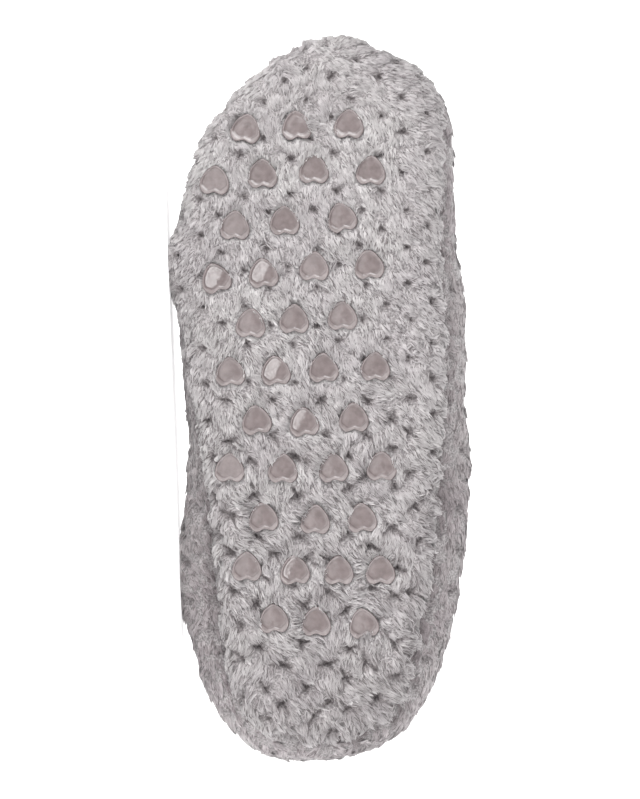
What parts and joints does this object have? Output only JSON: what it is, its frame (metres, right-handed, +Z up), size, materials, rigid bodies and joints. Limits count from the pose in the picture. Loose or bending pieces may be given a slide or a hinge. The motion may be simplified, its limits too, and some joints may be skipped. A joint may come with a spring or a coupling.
{
  "type": "ballerina slipper",
  "caption": "Soft grey dimpled-plush ballerina slipper for the right foot, lying on its outer side, with heart-shaped silicone grips over the sole and an elastic-hemmed collar.",
  "frame": {"origin": "middle of the slipper's footprint on the floor that it lies on, at the height of that floor", "axes": "+X runs from the toe to the heel, -Y is the way the tread faces and +Y the way the collar opens, +Z is up, from the outer side that lies on the floor to the inner side"},
  "size_m": [0.254, 0.0611, 0.1042],
  "materials": {
    "plush": "grey fleece pile with a lattice of dimples",
    "lining": "short grey fleece",
    "silicone": "glossy, slightly see-through mauve grey"
  },
  "bodies": {
    "root": {"sole": "plush", "upper": "plush", "insole": "lining", "grip_heart_01": "silicone", "grip_heart_02": "silicone", "grip_heart_03": "silicone", "grip_heart_04": "silicone", "grip_heart_05": "silicone", "grip_heart_06": "silicone", "grip_heart_07": "silicone", "grip_heart_08": "silicone", "grip_heart_09": "silicone", "grip_heart_10": "silicone", "grip_heart_11": "silicone", "grip_heart_12": "silicone", "grip_heart_13": "silicone", "grip_heart_14": "silicone", "grip_heart_15": "silicone", "grip_heart_16": "silicone", "grip_heart_17": "silicone", "grip_heart_18": "silicone", "grip_heart_19": "silicone", "grip_heart_20": "silicone", "grip_heart_21": "silicone", "grip_heart_22": "silicone", "grip_heart_23": "silicone", "grip_heart_24": "silicone", "grip_heart_25": "silicone", "grip_heart_26": "silicone", "grip_heart_27": "silicone", "grip_heart_28": "silicone", "grip_heart_29": "silicone", "grip_heart_30": "silicone", "grip_heart_31": "silicone", "grip_heart_32": "silicone", "grip_heart_33": "silicone", "grip_heart_34": "silicone", "grip_heart_35": "silicone", "grip_heart_36": "silicone", "grip_heart_37": "silicone", "grip_heart_38": "silicone"}
  },
  "joints": []
}
